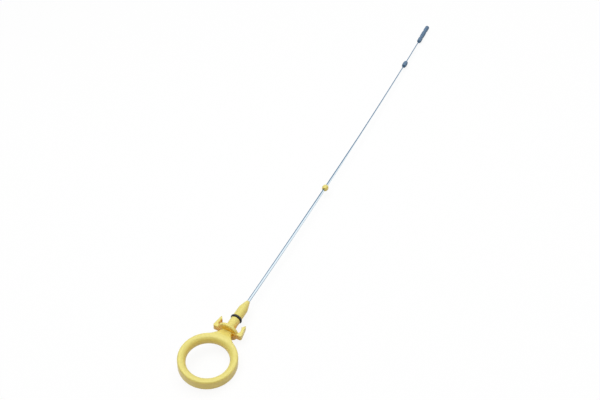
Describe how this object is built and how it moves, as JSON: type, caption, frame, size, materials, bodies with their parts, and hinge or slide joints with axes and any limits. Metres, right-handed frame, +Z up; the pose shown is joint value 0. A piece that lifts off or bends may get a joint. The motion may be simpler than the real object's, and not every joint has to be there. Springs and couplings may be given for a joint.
{
  "type": "engine oil dipstick",
  "caption": "Engine oil dipstick with a finger-ring pull, snap hooks, a seal ring and a slim twisted steel blade that ends in a notched gauge tip.",
  "frame": {"origin": "on the stick's axis at the seat face of the flange, where the mouth of the guide tube stops", "axes": "+X along the stick from the flange towards the gauge tip, +Z up with the dipstick lying at rest"},
  "size_m": [0.5303, 0.0424, 0.0162],
  "materials": {
    "yellow_plastic": "satin moulded",
    "seal_rubber": "smooth, slightly oily",
    "spring_steel": "polished strip",
    "grey_plastic": "matt moulded"
  },
  "bodies": {
    "root": {"handle": "yellow_plastic", "o_ring": "seal_rubber", "blade": "spring_steel", "guide_bead": "yellow_plastic", "lower_bead": "grey_plastic", "gauge_tip": "grey_plastic"}
  },
  "joints": []
}
